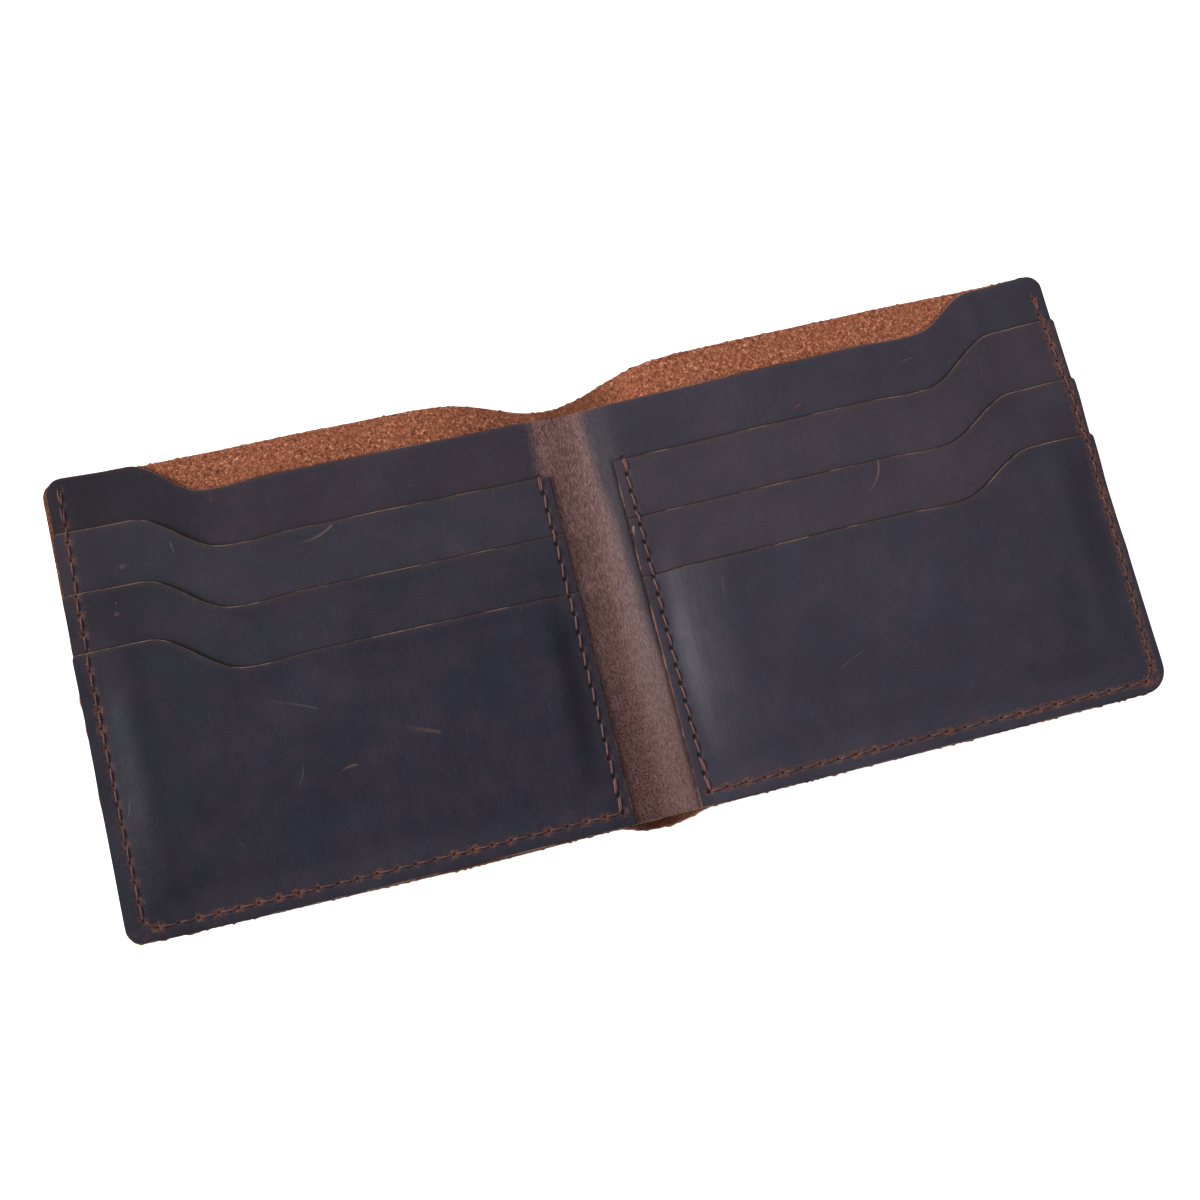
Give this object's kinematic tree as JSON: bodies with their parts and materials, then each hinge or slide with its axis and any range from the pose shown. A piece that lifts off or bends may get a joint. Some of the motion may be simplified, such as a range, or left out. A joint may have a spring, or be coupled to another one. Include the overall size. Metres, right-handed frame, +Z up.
{
  "type": "bifold wallet",
  "caption": "Open leather bifold wallet: one outer cover, a scooped bill divider, stepped card pockets on each half and a fold between them.",
  "frame": {"origin": "on the resting surface, under the middle of the open wallet", "axes": "+X towards the right half, +Y towards the open top of the bill compartment, +Z up"},
  "size_m": [0.2254, 0.0996, 0.0188],
  "materials": {
    "cover_leather": "waxed full grain outside, raw suede inside",
    "liner_leather": "waxed full grain, rubbed brown at the fold",
    "pocket_leather": "waxed full grain, satin",
    "needle_thread": "waxed polyester thread",
    "bobbin_thread": "waxed polyester thread"
  },
  "bodies": {
    "left_half": {"outer_cover_left": "cover_leather", "liner_left": "liner_leather", "rear_pocket_left": "pocket_leather", "middle_pocket_left": "pocket_leather", "front_pocket_left": "pocket_leather", "edge_seam_needle_thread_left": "needle_thread", "edge_seam_bobbin_thread_left": "bobbin_thread", "inner_seam_needle_thread_left": "needle_thread", "inner_seam_bobbin_thread_left": "bobbin_thread", "rear_pocket_foot_seam_left": "bobbin_thread", "middle_pocket_foot_seam_left": "bobbin_thread"},
    "right_half": {"outer_cover_right": "cover_leather", "liner_right": "liner_leather", "rear_pocket_right": "pocket_leather", "middle_pocket_right": "pocket_leather", "front_pocket_right": "pocket_leather", "edge_seam_needle_thread_right": "needle_thread", "edge_seam_bobbin_thread_right": "bobbin_thread", "inner_seam_needle_thread_right": "needle_thread", "inner_seam_bobbin_thread_right": "bobbin_thread", "rear_pocket_foot_seam_right": "bobbin_thread", "middle_pocket_foot_seam_right": "bobbin_thread"}
  },
  "joints": [
    {"name": "fold", "type": "hinge", "parent": "left_half", "child": "right_half", "pos_m": [0, 0, 0.01321], "axis": [0, -1, 0], "range_deg": [0, 173.8]}
  ]
}
